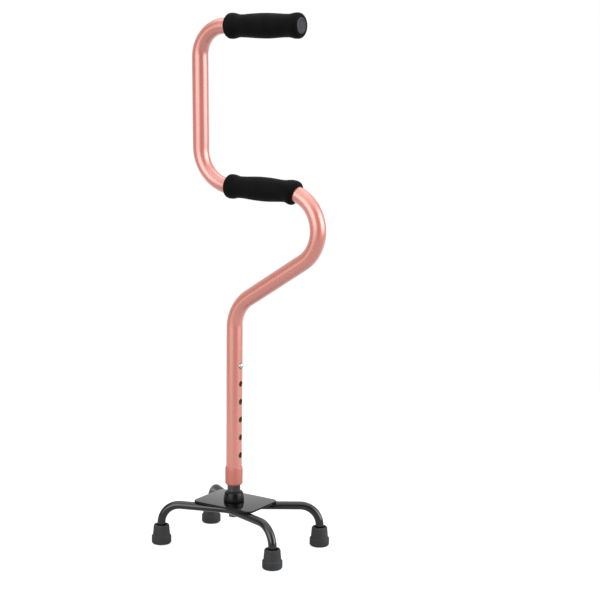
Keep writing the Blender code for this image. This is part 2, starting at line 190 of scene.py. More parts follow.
# origin is the start of a straight run or the centre of a bend; inward points at a bend's centre
Run = namedtuple("Run", "origin way length inward radius", defaults=(None, None))


class Path:
    """Straight runs joined by circular bends, through corner points in space."""

    def __init__(self, corners, radii):
        points = [Vector(c) for c in corners]
        self.runs = []
        here = points[0]
        for before, corner, after, radius in zip(points, points[1:], points[2:], radii):
            come, go = (corner - before).normalized(), (after - corner).normalized()
            angle = come.angle(go)
            reach = radius * math.tan(angle / 2)
            start, end = corner - come * reach, corner + go * reach
            self.runs.append(Run(here, come, (start - here).length))
            inward = (go - come * come.dot(go)).normalized()
            self.runs.append(Run(start + inward * radius, come, radius * angle, inward, radius))
            here = end
        last = points[-1] - here
        self.runs.append(Run(here, last.normalized(), last.length))
        self.length = sum(run.length for run in self.runs)

    def at(self, s):
        """The point and direction at a distance along the path; the last run goes on past its end."""
        for run in self.runs:
            if s <= run.length or run is self.runs[-1]:
                if run.inward is None:
                    return run.origin + run.way * s, run.way
                turn = s / run.radius
                return (
                    run.origin - run.inward * run.radius * math.cos(turn)
                    + run.way * run.radius * math.sin(turn),
                    run.way * math.cos(turn) + run.inward * math.sin(turn),
                )
            s -= run.length

    def bends(self):
        """Start and end distance of each bend."""
        found, reached = [], 0.0
        for run in self.runs:
            if run.inward is not None:
                found.append((reached, reached + run.length))
            reached += run.length
        return found

    def stations(self, straight_step=1e9):
        """Distances along the whole path, close enough for its bends and its straight runs."""
        marks, base = {0.0, self.length}, 0.0
        for run in self.runs:
            if run.inward is None:
                steps = max(1, math.ceil(run.length / straight_step))
            else:
                steps = max(2, math.ceil(math.degrees(run.length / run.radius) / BEND_STEP))
            for k in range(steps + 1):
                marks.add(base + run.length * k / steps)
            base += run.length
        kept = []
        for mark in sorted(m for m in marks if m <= self.length):
            if not kept or mark - kept[-1] > 1e-2:
                kept.append(mark)
        kept[-1] = self.length
        return kept


def swept(path, outer, inner, segments, relief=None, relief_in_bore=False):
    """A hollow body along a path; outer and inner list rising (distance, radius).

    relief(distance, angle) adds to the outer radius, and to the bore's if asked for.
    """
    bm = bmesh.new()

    def wall(stations, wall_relief):
        across = Vector((0, 1, 0))
        rings = []
        for s, r in stations:
            point, way = path.at(s)
            across = (across - way * across.dot(way)).normalized()
            other = way.cross(across)
            ring = []
            for k in range(segments):
                a = 2 * math.pi * k / segments
                radius = r + (wall_relief(s, a) if wall_relief else 0)
                offset = across * (radius * math.cos(a)) + other * (radius * math.sin(a))
                ring.append(bm.verts.new(point + across * (radius * math.cos(a))
                                         + other * (radius * math.sin(a))))
            rings.append(ring)
        return rings

    outside = wall(outer, relief)
    bore = wall(inner, relief if relief_in_bore else None)
    skin(bm, outside + bore[::-1], closed=True)
    return bm


def cut(target, bm, operation="DIFFERENCE"):
    """Applies a Boolean with a helper shape, then removes the helper."""
    other = finished("cutter", bm)
    modifier = target.modifiers.new("cut", "BOOLEAN")
    modifier.operation, modifier.solver, modifier.object = operation, "EXACT", other
    bpy.context.view_layer.update()
    evaluated = target.evaluated_get(bpy.context.evaluated_depsgraph_get())
    mesh = bpy.data.meshes.new_from_object(evaluated)
    target.modifiers.clear()
    old = target.data
    target.data = mesh
    mesh.name = target.name
    bpy.data.meshes.remove(old)
    bpy.data.objects.remove(other)
    smooth(target.data)


def lift(z):
    return Matrix.Translation((0, 0, z))


def along_x(x, z):
    """Lays a turned piece along +X, its foot at x and its axis at height z."""
    return Matrix.Translation((x, 0, z)) @ Matrix.Rotation(math.radians(90), 4, "Y")


# ------------------------------------------------------------------ material tools
def math_node(tree, operation, *values):
    """A math node; each value is a number or a socket to link."""
    made = tree.nodes.new("ShaderNodeMath")
    made.operation = operation
    for socket, value in zip(made.inputs, values):
        if isinstance(value, (int, float)):
            socket.default_value = value
        else:
            tree.links.new(value, socket)
    return made.outputs[0]


class Look:
    """A procedural Principled material built up in layers, on the piece's own coordinates."""

    def __init__(self, name):
        self.material = bpy.data.materials.new(name)
        self.material.use_nodes = True
        self.tree = self.material.node_tree
        self.nodes, self.links = self.tree.nodes, self.tree.links
        self.shader = self.nodes["Principled BSDF"]
        self.place = self.nodes.new("ShaderNodeTexCoord").outputs["Object"]
        self.last_bump = None

    def put(self, **values):
        for key, value in values.items():
            socket = self.shader.inputs[key.replace("_", " ")]
            socket.default_value = (*value, 1.0) if isinstance(value, tuple) else value

    def into(self, name, source):
        self.links.new(source, self.shader.inputs[name])

    def noise(self, scale, detail=3.0, roughness=0.5, stretch=None):
        vector = self.place
        if stretch:
            mapping = self.nodes.new("ShaderNodeMapping")
            mapping.inputs["Scale"].default_value = stretch
            self.links.new(self.place, mapping.inputs["Vector"])
            vector = mapping.outputs["Vector"]
        made = self.nodes.new("ShaderNodeTexNoise")
        made.inputs["Scale"].default_value = scale
        made.inputs["Detail"].default_value = detail
        made.inputs["Roughness"].default_value = roughness
        self.links.new(vector, made.inputs["Vector"])
        return made.outputs["Fac"]

    def cells(self, scale):
        made = self.nodes.new("ShaderNodeTexVoronoi")
        made.inputs["Scale"].default_value = scale
        self.links.new(self.place, made.inputs["Vector"])
        return made.outputs["Distance"]

    def ramp(self, source, start, end, low=0.0, high=1.0):
        """Grey running from low, where the source is at start, to high at end."""
        made = self.nodes.new("ShaderNodeValToRGB")
        elements = made.color_ramp.elements
        while len(elements) > 1:
            elements.remove(elements[-1])
        elements[0].position = start
        elements[0].color = (low, low, low, 1.0)
        last = elements.new(end)
        last.position = end
        last.color = (high, high, high, 1.0)
        self.links.new(source, made.inputs["Fac"])
        return made.outputs["Color"]

    def mixed(self, factor, first, second):
        made = self.nodes.new("ShaderNodeMix")
        made.data_type = "RGBA"
        self.links.new(factor, made.inputs[0])
        for socket, value in ((made.inputs[6], first), (made.inputs[7], second)):
            if isinstance(value, tuple):
                socket.default_value = (*value, 1.0)
            else:
                self.links.new(value, socket)
        return made.outputs[2]

    def shade(self, source, start, end, low, high):
        """Colour running from low, where the source is at start, to high at end."""
        return self.mixed(self.ramp(source, start, end), low, high)

    def touched(self, colour, where, share, tint):
        """The colour moved by a share towards a tint, where the mask is 1."""
        return self.mixed(self.math("MULTIPLY", where, share), colour, tint)

    def math(self, operation, *values):
        return math_node(self.tree, operation, *values)

    def bump(self, height, distance, strength):
        """Adds a bump over those already there; distance is in metres."""
        made = self.nodes.new("ShaderNodeBump")
        made.inputs["Strength"].default_value = strength
        made.inputs["Distance"].default_value = distance
        self.links.new(height, made.inputs["Height"])
        if self.last_bump is not None:
            self.links.new(self.last_bump, made.inputs["Normal"])
        self.last_bump = made.outputs["Normal"]
        self.links.new(self.last_bump, self.shader.inputs["Normal"])

    def edges(self):
        """1 on tight edges, 0 on broad faces: how far a rounded normal leaves the surface's own."""
        bevel = self.nodes.new("ShaderNodeBevel")
        bevel.samples = 4
        bevel.inputs["Radius"].default_value = 0.0006
        geometry = self.nodes.new("ShaderNodeNewGeometry")
        dot = self.nodes.new("ShaderNodeVectorMath")
        dot.operation = "DOT_PRODUCT"
        self.links.new(bevel.outputs["Normal"], dot.inputs[0])
        self.links.new(geometry.outputs["Normal"], dot.inputs[1])
        return self.ramp(self.math("SUBTRACT", 1.0, dot.outputs["Value"]), start=0.02, end=0.16)


# ------------------------------------------------------------------ materials
def rose_paint(name, base, deep, rough, coat, worn_and_highlit_edges=False):
    """Satin metallic paint under clear lacquer, faintly cloudy and wavy as drawn tube is."""
    look = Look(name)
    cloud = look.noise(scale=9.0, detail=2.0)
    colour = look.shade(cloud, start=0.35, end=0.7, low=base, high=deep)
    if worn_and_highlit_edges:
        # lighter edges: partly wear, partly a painted highlight on the collar's chamfers and rims
        colour = look.touched(colour, look.edges(), share=0.4, tint=(0.74, 0.46, 0.42))
    look.into("Base Color", colour)
    look.put(Metallic=0.12, IOR=1.6)
    look.put(Coat_Weight=coat, Coat_Roughness=0.5 * rough + 0.085, Coat_IOR=1.6)
    patches = look.noise(scale=25.0, detail=2.0)
    look.into("Roughness", look.ramp(patches, 0.3, 0.7, low=rough - 0.01, high=rough + 0.01))
    look.bump(look.noise(scale=60.0, detail=1.0), distance=0.00002, strength=0.12)
    return look.material


def foam():
    """Closed-cell grip foam: fine pores, a skin with shinier patches, faint dust."""
    look = Look("grip_foam_black")
    pores = look.cells(scale=1500.0)
    fine = look.noise(scale=2600.0, detail=3.0, roughness=0.65)
    broad = look.noise(scale=28.0, detail=4.0, roughness=0.55)
    colour = look.shade(
        broad, start=0.3, end=0.75, low=(0.0014, 0.0013, 0.0013), high=(0.0029, 0.0027, 0.0026)
    )
    dust = look.ramp(fine, start=0.62, end=0.78)
    look.into("Base Color", look.touched(colour, dust, share=0.07, tint=(0.02, 0.02, 0.021)))
    rubbed = look.noise(scale=55.0)
    look.into("Roughness", look.ramp(rubbed, start=0.35, end=0.7, low=0.62, high=0.78))
    look.put(IOR=1.35, Specular_IOR_Level=0.095)
    look.put(Sheen_Weight=0.02, Sheen_Roughness=0.3, Sheen_Tint=(0.85, 0.87, 0.9))
    look.bump(pores, distance=0.00010, strength=0.35)
    look.bump(fine, distance=0.00006, strength=0.35)
    look.bump(broad, distance=0.0003, strength=0.20)
    return look.material


def rubber():
    """Moulded charcoal rubber with a fine matte grain and scuffed edges."""
    look = Look("tip_rubber_charcoal")
    grain = look.noise(scale=1500.0, detail=4.0, roughness=0.7)
    broad = look.noise(scale=60.0)
    colour = look.shade(
        broad, start=0.3, end=0.7, low=(0.0088, 0.0091, 0.0099), high=(0.0136, 0.0140, 0.0151)
    )
    colour = look.touched(colour, look.edges(), share=0.4, tint=(0.05, 0.051, 0.053))
    specks = look.ramp(grain, start=0.66, end=0.8)
    look.into("Base Color", look.touched(colour, specks, share=0.3, tint=(0.04, 0.04, 0.042)))
    patches = look.noise(scale=120.0)
    look.into("Roughness", look.ramp(patches, start=0.3, end=0.7, low=0.62, high=0.78))
    look.put(IOR=1.45, Specular_IOR_Level=0.4)
    look.bump(grain, distance=0.00007, strength=0.5)
    look.bump(broad, distance=0.0002, strength=0.12)
    return look.material


def gloss_paint(name, base, lighter, rough, level, coat, peel, scuffed, flat_only=False):
    """Dark stove enamel: orange peel, dust nibs and faint scuffs, duller on steep faces if flat_only."""
    look = Look(name)
    broad = look.noise(scale=22.0, detail=4.0)
    colour = look.shade(broad, start=0.35, end=0.7, low=base, high=lighter)
    nib = look.ramp(look.noise(scale=700.0, detail=1.0), start=0.78, end=0.82)
    look.into("Base Color", look.touched(colour, nib, share=0.25, tint=(0.16, 0.155, 0.15)))
    streaks = look.noise(scale=36.0, detail=6.0, roughness=0.7, stretch=(1.0, 3.0, 6.0))
    scuff = look.ramp(streaks, start=0.52, end=0.75)
    look.into("Roughness", look.ramp(scuff, 0.0, 1.0, low=rough, high=rough + scuffed))
    look.put(IOR=1.5, Specular_IOR_Level=level, Metallic=0.0)
    look.put(Coat_Weight=coat, Coat_Roughness=rough * 0.7)
    if flat_only:
        geometry = look.nodes.new("ShaderNodeNewGeometry")
        parts = look.nodes.new("ShaderNodeSeparateXYZ")
        look.links.new(geometry.outputs["Normal"], parts.inputs[0])
        flat = look.math("ABSOLUTE", parts.outputs["Z"])
        worn = look.math("SUBTRACT", 1.0, look.math("MULTIPLY", scuff, 0.15))
        for socket, low, high in (
            ("Specular IOR Level", level * 0.2, level),
            ("Coat Weight", 0.0, coat),
        ):
            shine = look.ramp(flat, start=0.55, end=0.97, low=low, high=high)
            look.into(socket, look.math("MULTIPLY", worn, shine))
    look.bump(look.noise(scale=340.0, detail=2.0), distance=0.000018, strength=peel)
    return look.material


def hub_gloss():
    look = Look("hub_gloss_black")
    colour = look.shade(
        look.noise(scale=40.0),
        start=0.3, end=0.7, low=(0.0028, 0.0028, 0.003), high=(0.0045, 0.0045, 0.005),
    )
    # lighter edges: a painted highlight, edge reflections painted into the gloss black colour
    look.into("Base Color", look.touched(colour, look.edges(), share=0.3, tint=(0.06, 0.06, 0.065)))
    patches = look.noise(scale=90.0, detail=4.0)
    look.into("Roughness", look.ramp(patches, start=0.35, end=0.75, low=0.12, high=0.18))
    look.put(IOR=1.5, Specular_IOR_Level=0.13)
    look.bump(look.noise(scale=500.0, detail=2.0), distance=0.00001, strength=0.3)
    return look.material


def inner_anodised():
    """Dark anodised tube with fine lines along its length and rub marks from the collet."""
    look = Look("inner_tube_anodised_dark")
    lines = look.noise(scale=900.0, detail=4.0, roughness=0.7, stretch=(1.0, 1.0, 0.02))
    colour = look.shade(
        lines, start=0.35, end=0.65, low=(0.026, 0.0245, 0.024), high=(0.045, 0.0425, 0.042)
    )
    marks = look.noise(scale=30.0, detail=4.0, roughness=0.6, stretch=(2.0, 2.0, 0.4))
    rub = look.ramp(marks, start=0.55, end=0.75)
    look.into("Base Color", look.touched(colour, rub, share=0.35, tint=(0.16, 0.155, 0.15)))
    look.into("Roughness", look.ramp(lines, start=0.3, end=0.7, low=0.34, high=0.46))
    look.put(Metallic=0.45, IOR=1.5, Specular_IOR_Level=0.3)
    look.bump(lines, distance=0.00001, strength=0.5)
    return look.material


def bright_metal(name, base, rough, stretch):
    """Finely lined metal with darker, duller patches."""
    look = Look(name)
    lines = look.noise(scale=800.0, detail=4.0, roughness=0.65, stretch=stretch)
    broad = look.noise(scale=45.0, detail=4.0)
    line_colour, patch_colour = (tuple(c * share for c in base) for share in (0.82, 0.6))
    colour = look.shade(lines, start=0.3, end=0.7, low=line_colour, high=base)
    patches = look.ramp(broad, start=0.5, end=0.75)
    look.into("Base Color", look.touched(colour, patches, share=0.35, tint=patch_colour))
    look.into("Roughness", look.ramp(broad, start=0.3, end=0.75, low=rough, high=rough + 0.14))
    look.put(Metallic=1.0)
    look.bump(lines, distance=0.000012, strength=0.5)
    return look.material


def slate_plastic():
    """Moulded plug plastic with a fine spark-eroded texture."""
    look = Look("plug_slate_plastic")
    grain = look.noise(scale=2400.0, detail=2.0, roughness=0.6)
    colour = look.shade(
        look.noise(scale=80.0),
        start=0.3, end=0.7, low=(0.0090, 0.0096, 0.0120), high=(0.0125, 0.0133, 0.0160),
    )
    # lighter rims: a painted highlight on the plug's rounded edges
    look.into("Base Color", look.touched(colour, look.edges(), share=0.5, tint=(0.16, 0.165, 0.175)))
    look.into("Roughness", look.ramp(grain, start=0.3, end=0.7, low=0.48, high=0.6))
    look.put(IOR=1.48, Specular_IOR_Level=0.28)
    look.bump(grain, distance=0.00005, strength=0.4)
    return look.material


def nylon():
    look = Look("bush_nylon_natural")
    cloud = look.noise(scale=70.0)
    colour = look.shade(cloud, start=0.3, end=0.7, low=(0.60, 0.58, 0.52), high=(0.68, 0.67, 0.62))
    look.into("Base Color", colour)
    patches = look.noise(scale=300.0)
    look.into("Roughness", look.ramp(patches, start=0.3, end=0.7, low=0.38, high=0.5))
    look.put(Subsurface_Weight=0.2, Subsurface_Scale=0.002)
    look.bump(look.noise(scale=900.0, detail=2.0), distance=0.00002, strength=0.4)
    return look.material


ROSE = rose_paint(
    "rose_metallic_paint",
    base=(0.382, 0.123, 0.093), deep=(0.366, 0.115, 0.086), rough=0.25, coat=0.85,
)
ROSE_RING = rose_paint(
    "rose_collar_paint",
    base=(0.296, 0.088, 0.066), deep=(0.284, 0.082, 0.061), rough=0.55, coat=0.10, worn_and_highlit_edges=True,
)
FOAM, RUBBER, SLATE, NYLON, HUB = foam(), rubber(), slate_plastic(), nylon(), hub_gloss()
PLATE = gloss_paint(
    "plate_charcoal_gloss",
    base=(0.0028, 0.0026, 0.0027), lighter=(0.0044, 0.0041, 0.0043),
    rough=0.0, level=0.79, coat=0.41, peel=0.06, scuffed=0.0, flat_only=True,
)
LEGS = gloss_paint(
    "leg_charcoal_gloss",
    base=(0.0036, 0.0033, 0.0031), lighter=(0.0054, 0.0049, 0.0046),
    rough=0.045, level=0.42, coat=0.0, peel=0.15, scuffed=0.05,
)
INNER = inner_anodised()
NICKEL = bright_metal("button_nickel", (0.42, 0.43, 0.44), rough=0.16, stretch=(1.0, 1.0, 1.0))
ZINC = bright_metal("black_zinc_steel", (0.12, 0.115, 0.105), rough=0.34, stretch=(1.0, 1.0, 0.2))


def dressed(piece, material, body, replaced):
    """Gives a piece its material, hangs it under its body's empty and hides the CAD node it replaces."""
    piece.data.materials.clear()
    piece.data.materials.append(material)
    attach(piece, body)
    if replaced:
        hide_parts(replaced)


# ------------------------------------------------------------------ bent handle tube
BOW = Path(
    [(0, 0, TUBE_BOTTOM)] + [(x, 0, z) for x, z in (*HANDLE_CORNERS, TUBE_END)], HANDLE_BEND_RADII
)
BOW_BENDS = BOW.bends()


def bend_flattening(s, a):
    """The tube's loss of radius in the plane of each bend, where the wall was drawn in."""
    overrun = 6.0
    loss = 0.0
    for (start, end), depth in zip(BOW_BENDS, FLATTENING):
        t = (s - start + overrun) / (end - start + 2 * overrun)
        if 0 < t < 1:
            loss = max(loss, depth * math.sin(math.pi * t) ** 1.2)
    return -loss * math.sin(a) ** 2


def handle_tube():
    marks = BOW.stations(straight_step=12.0)
    chamfer = 0.35
    outer = [(0.0, TUBE_R - chamfer), (chamfer, TUBE_R)] + [(s, TUBE_R) for s in marks[1:-1]]
    outer += [(BOW.length - chamfer, TUBE_R), (BOW.length, TUBE_R - chamfer)]
    bore = [(s, TUBE_BORE) for s in marks]
    tube = finished(
        "handle_tube_painted", swept(BOW, outer, bore, 72, bend_flattening, relief_in_bore=True)
    )
    # button holes down the +X side, each a little wider at the tube's surface
    drill_start, wide_r = 4.0, HOLE_R + 0.25
    drill = [(0, 0), (HOLE_R, 0), (HOLE_R, 6.75), (wide_r, 7.05), (wide_r, 9), (0, 9)]
    drills = bmesh.new()
    for number in range(HOLES):
        turned(drill, 40, along_x(drill_start, BUTTON_Z - HOLE_STEP * number), drills)
    cut(tube, drills)
    dressed(tube, ROSE, "handle", "handle_tube")


# ------------------------------------------------------------------ foam grips
GRIP_BORE = 11.15
GRIP_ROUND_LENGTH, GRIP_ROUND_STEPS = 5.5, 10


def eased(table, x):
    """The value at x, eased between the (x, value) rows."""
    if x <= table[0][0]:
        return table[0][1]
    for (x0, y0), (x1, y1) in zip(table, table[1:]):
        if x <= x1:
            t = (x - x0) / (x1 - x0)
            return y0 + (y1 - y0) * (3 * t * t - 2 * t * t * t)
    return table[-1][1]


def foam_grip(node, x_range, radii, end_rounds, bore, path_origin, path_way, seed):
    """A foam sleeve: rounded flared ends, a neck inside each, a swelling between, an uneven skin.

    radii run from low x: flare, neck, swelling, neck, flare. bore lists (x, radius).
    A place x lies at distance path_origin + path_way * x along the bow.
    """
    x0, x1 = x_range
    middle = (x0 + x1) / 2
    flare_0, neck_0, swelling, neck_1, flare_1 = radii
    table = [
        (x0 + GRIP_ROUND_LENGTH, flare_0), (x0 + 8.0, flare_0), (x0 + 19.5, neck_0),
        (middle - 2, swelling), (middle + 4, swelling),
        (x1 - 20.0, neck_1), (x1 - 7.5, flare_1), (x1 - GRIP_ROUND_LENGTH, flare_1),
    ]

    def rounded_end(end_x, inward, flare, drop):
        angles = [math.radians(90 * k / GRIP_ROUND_STEPS) for k in range(GRIP_ROUND_STEPS)]
        return [
            (end_x + inward * GRIP_ROUND_LENGTH * (1 - math.cos(a)), flare - drop + drop * math.sin(a))
            for a in angles
        ]

    shape = rounded_end(x0, 1, flare_0, end_rounds[0])
    steps = 90
    for k in range(steps + 1):
        x = table[0][0] + (table[-1][0] - table[0][0]) * k / steps
        shape.append((x, eased(table, x)))
    shape += rounded_end(x1, -1, flare_1, end_rounds[1])

    def on_path(stations):
        return sorted((path_origin + path_way * x, r) for x, r in stations)

    def relief(s, a):
        broad = Vector((s * 0.055, math.cos(a) * 0.9, math.sin(a) * 0.9 + seed))
        fine = Vector((s * 0.35, math.cos(a) * 5, math.sin(a) * 5 + seed))
        return 0.16 * noise.noise(broad) + 0.05 * noise.noise(fine)

    body = swept(BOW, on_path(shape), on_path(bore), 96, relief)
    dressed(finished(node + "_foam", body, 60), FOAM, "handle", node)


def upper_grip():
    x0, x1 = -12.5, 102.9
    counterbore = 11.9
    foam_grip(
        "upper_grip",
        x_range=(x0, x1),
        radii=(17.0, 14.9, 16.5, 15.0, 16.75),
        end_rounds=(5.6, 5.4),
        bore=[
            (x0, GRIP_BORE), (x1 - 4.6, GRIP_BORE), (x1 - 4.2, counterbore),
            (x1 - 0.4, counterbore), (x1, counterbore + 0.3),
        ],
        path_origin=BOW.length - TUBE_END[0],
        path_way=1,
        seed=9.7,
    )


def lower_grip():
    """The bow runs towards -X here, from the end of its second bend."""
    x0, x1 = -11.4, 98.9
    bore_steps = 24
    second_bend_end = BOW_BENDS[1][1]
    foam_grip(
        "lower_grip",
        x_range=(x0, x1),
        radii=(16.45, 14.55, 16.15, 14.55, 16.45),
        end_rounds=(5.4, 5.4),
        bore=[(x0 + (x1 - x0) * k / bore_steps, GRIP_BORE) for k in range(bore_steps + 1)],
        path_origin=second_bend_end + BOW.at(second_bend_end)[0].x,
        path_way=-1,
        seed=3.1,
    )


def end_plug():
    # radius, height out of the tube's end, corner radius
    profile = [
        (0, 3.0), (7.6, 3.05, 0.6), (8.1, 3.45, 0.4), (11.0, 3.1, 1.0), (11.5, 0.35, 0.2),
        (9.5, 0.35, 0.3), (9.5, -12.4, 1.2), (7.2, -12.4, 0.4), (7.2, -2.0, 0.8), (0, -2.0),
    ]
    facing = BOW.at(BOW.length)[1].to_track_quat("Z", "X").to_matrix().to_4x4()
    turn = Matrix.Translation((TUBE_END[0], 0, TUBE_END[1])) @ facing
    plug = finished("tube_end_plug_moulded", turned(rounded(profile), 72, turn))
    dressed(plug, SLATE, "handle", "tube_end_plug")


# ------------------------------------------------------------------ locking collar and lower tube
def locking_collar():
    tall = COLLAR_HIGH - COLLAR_LOW
    # radius, height above the collar's foot, corner radius
    profile = [
        (9.5, 0.0, 0.3), (10.6, 0.0, 0.8), (12.15, 2.2, 1.4), (12.15, tall - 3.3, 0.5),
        (11.8, tall - 2.9, 0.2), (11.8, tall - 2.4, 0.2), (11.95, tall - 2.1, 0.2),
        (11.45, tall, 0.3), (11.2, tall, 0.05), (11.2, 4.3, 0.1), (10.2, 3.1), (9.5, 2.7, 0.2),
    ]
    collar = finished("locking_collar_ring", turned(rounded(profile), 96, lift(COLLAR_LOW)))
    dressed(collar, ROSE_RING, "collar", "locking_collar")


def lower_tube():
    profile = [
        (INNER_BORE, INNER_BOTTOM, 0.2), (INNER_R, INNER_BOTTOM, 0.3),
        (INNER_R, INNER_TOP, 0.3), (INNER_BORE, INNER_TOP, 0.2),
    ]
    lower = finished("inner_tube_anodised", turned(rounded(profile), 72))
    drill = [(0, 0), (HOLE_R, 0), (HOLE_R, 8), (0, 8)]
    cut(lower, turned(drill, 40, along_x(4.0, BUTTON_Z)))
    dressed(lower, INNER, "base", "inner_tube")


# ------------------------------------------------------------------ snap button and spring, one piece
def strip(points, thick, width, z0):
    """A strip bent through (x, z) points, its width along Y."""
    bm = bmesh.new()
    rings = []
    for k, point in enumerate(points):
        before, after = Vector(points[max(k - 1, 0)]), Vector(points[min(k + 1, len(points) - 1)])
        way = (after - before).normalized()
        off = Vector((-way[1], way[0])) * thick / 2
        rings.append([
            bm.verts.new((point[0] + side * off[0], y * width / 2, z0 + point[1] + side * off[1]))
            for side, y in ((-1, -1), (1, -1), (1, 1), (-1, 1))
        ])
    skin(bm, rings)
    return bm


def snap_button():
    leaf_top, turn_z, turn_r = 12.0, -34.0, 2.2
    # x and height from the button: down the +X leaf, round the turn, up the -X leaf
    curve = [(5.9, leaf_top), (6.0, 6.0), (6.0, -6.0), (turn_r + 0.5, turn_z + 6)]
    turn = [math.radians(a) for a in range(0, -181, -15)]
    curve += [(turn_r * math.cos(a), turn_z + turn_r * math.sin(a)) for a in turn]
    curve += [(-turn_r - 0.5, turn_z + 6), (-6.4, -6.0), (-6.4, leaf_top)]
    clip = finished("snap_button_spring_clip", strip(curve, thick=0.7, width=6.0, z0=BUTTON_Z))

    foot, tip, radius, dome_height = 5.85, 13.6, 3.6, 2.4
    shoulder = tip - dome_height
    head = [(0, foot), (radius, foot), (radius, shoulder)]
    dome = [math.radians(a) for a in range(10, 90, 10)]
    head += [(radius * math.cos(a), shoulder + dome_height * math.sin(a)) for a in dome]
    head += [(0, tip)]
    cut(clip, turned(head, 40, along_x(0, BUTTON_Z)), "UNION")
    clip.data.materials.append(NICKEL)
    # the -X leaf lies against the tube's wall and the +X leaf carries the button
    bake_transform(clip)
    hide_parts("snap_button_clip")


# ------------------------------------------------------------------ hub
HUB_BORE = 9.25
# radius, height above the plate
HUB_CURVE = [
    (13.7, 0.3), (14.15, 0.8), (14.33, 1.8), (14.33, 3.0), (14.15, 5.0), (13.95, 6.8), (13.7, 8.6),
    (13.45, 10.3), (13.1, 11.8), (12.6, 13.0), (11.9, 13.9), (11.0, 14.5), (10.0, 14.8),
    (HUB_BORE, 14.8),
]


def smooth_curve(points, steps):
    """Catmull-Rom through the points, ends kept."""
    made = []
    last = len(points) - 1
    for k in range(last):
        p = [Vector(points[max(0, min(last, k + d))]) for d in (-1, 0, 1, 2)]
        for step in range(steps):
            t = step / steps
            made.append(
                0.5 * ((2 * p[1]) + (p[2] - p[0]) * t
                       + (2 * p[0] - 5 * p[1] + 4 * p[2] - p[3]) * t * t
                       + (3 * p[1] - p[0] - 3 * p[2] + p[3]) * t ** 3)
            )
    made.append(Vector(points[-1]))
    return [(v.x, v.y) for v in made]


def base_hub():
    profile = [(HUB_BORE, HUB_CURVE[0][1])] + smooth_curve(HUB_CURVE, 3)
    hub = finished("base_hub_gloss", turned(profile, 96, lift(PLATE_HIGH.z)))
    dressed(hub, HUB, "base", "base_hub")


# ------------------------------------------------------------------ base plate
def base_plate():
    corner_r, edge_r = 9.0, 0.75
    left, right = PLATE_LOW.x + corner_r, PLATE_HIGH.x - corner_r
    front, rear = PLATE_LOW.y + corner_r, PLATE_HIGH.y - corner_r
    # corner centre, and the way out from it
    outline = []
    for centre_x, centre_y, first_angle in (
        (right, front, -90), (right, rear, 0), (left, rear, 90), (left, front, 180),
    ):
        for k in range(19):
            a = math.radians(first_angle + 5 * k)
            outline.append((centre_x, centre_y, math.cos(a), math.sin(a)))
    # offset from the outline, height: round the lower edge, then the upper
    turn = [math.radians(a) for a in (0, 22, 45, 68, 90)]
    levels = [
        (-edge_r + edge_r * math.sin(a), PLATE_LOW.z + edge_r - edge_r * math.cos(a)) for a in turn
    ]
    levels += [
        (-edge_r + edge_r * math.cos(a), PLATE_HIGH.z - edge_r + edge_r * math.sin(a)) for a in turn
    ]
    bm = bmesh.new()
    rims = []
    for offset, z in levels:
        r = corner_r + offset
        rims.append([bm.verts.new((x + r * out_x, y + r * out_y, z)) for x, y, out_x, out_y in outline])
    skin(bm, rims)
    plate = finished("base_plate_pressed", bm)
    hole_r, reach = 4.5, 3
    drill = [(0, -reach), (hole_r, -reach), (hole_r, reach), (0, reach)]
    cut(plate, turned(drill, 40, lift((PLATE_LOW.z + PLATE_HIGH.z) / 2)))
    dressed(plate, PLATE, "base", "base_plate")


# ------------------------------------------------------------------ leg bows
def leg_bow(end, vertex_y):
    """A tube from foot to foot, up over the base with its middle bend near the shaft."""
    left, right = FEET[end + "_left"], FEET[end + "_right"]
    run = Path(
        [
            (left.x, left.y, LEG_END_Z), (left.x, left.y, LEG_Z), (0, vertex_y, LEG_Z),
            (right.x, right.y, LEG_Z), (right.x, right.y, LEG_END_Z),
        ],
        [LEG_BEND_R, VERTEX_BEND_R, LEG_BEND_R],
    )
    marks = run.stations()
    body = swept(run, [(s, LEG_R) for s in marks], [(s, LEG_BORE) for s in marks], 48)
    node = end + "_leg_bow"
    dressed(finished(node + "_painted", body), LEGS, "base", node)
    return run


# ------------------------------------------------------------------ rubber tips
# radius, height, corner radius: grooved sole, foot with a line round it, neck, socket for the leg
TIP_PROFILE = [
    (0, 0.0), (3.0, 0.0, 0.2), (3.4, 0.7, 0.2), (4.4, 0.7, 0.2), (4.8, 0.0, 0.2), (7.0, 0.0, 0.2),
    (7.4, 0.7, 0.2), (8.4, 0.7, 0.2), (8.8, 0.0, 0.2), (12.2, 0.0, 0.9),
    (13.72, 1.9, 1.5), (13.72, 8.0, 0.15), (13.5, 8.25, 0.1), (13.5, 8.55, 0.1), (13.72, 8.8, 0.15),
    (13.72, 10.9, 0.55), (12.25, 11.5, 0.4), (12.05, 12.2, 0.3), (10.95, 25.4, 1.4),
    (9.9, 26.98, 1.0), (8.7, 26.98, 0.8), (7.9, 25.4, 0.8), (6.05, 22.4, 0.6), (6.05, 4.95, 0.1),
    (0, 4.95),
]


def rubber_tips():
    profile = rounded(TIP_PROFILE)
    turn_per_mm = 0.3  # radians about Z, by the foot's x
    for foot, place in FEET.items():
        turn = Matrix.Translation(place) @ Matrix.Rotation(turn_per_mm * place.x, 4, "Z")
        piece = finished("rubber_tip_" + foot, turned(profile, 72, turn), 50)
        dressed(piece, RUBBER, "base", "tip_" + foot)


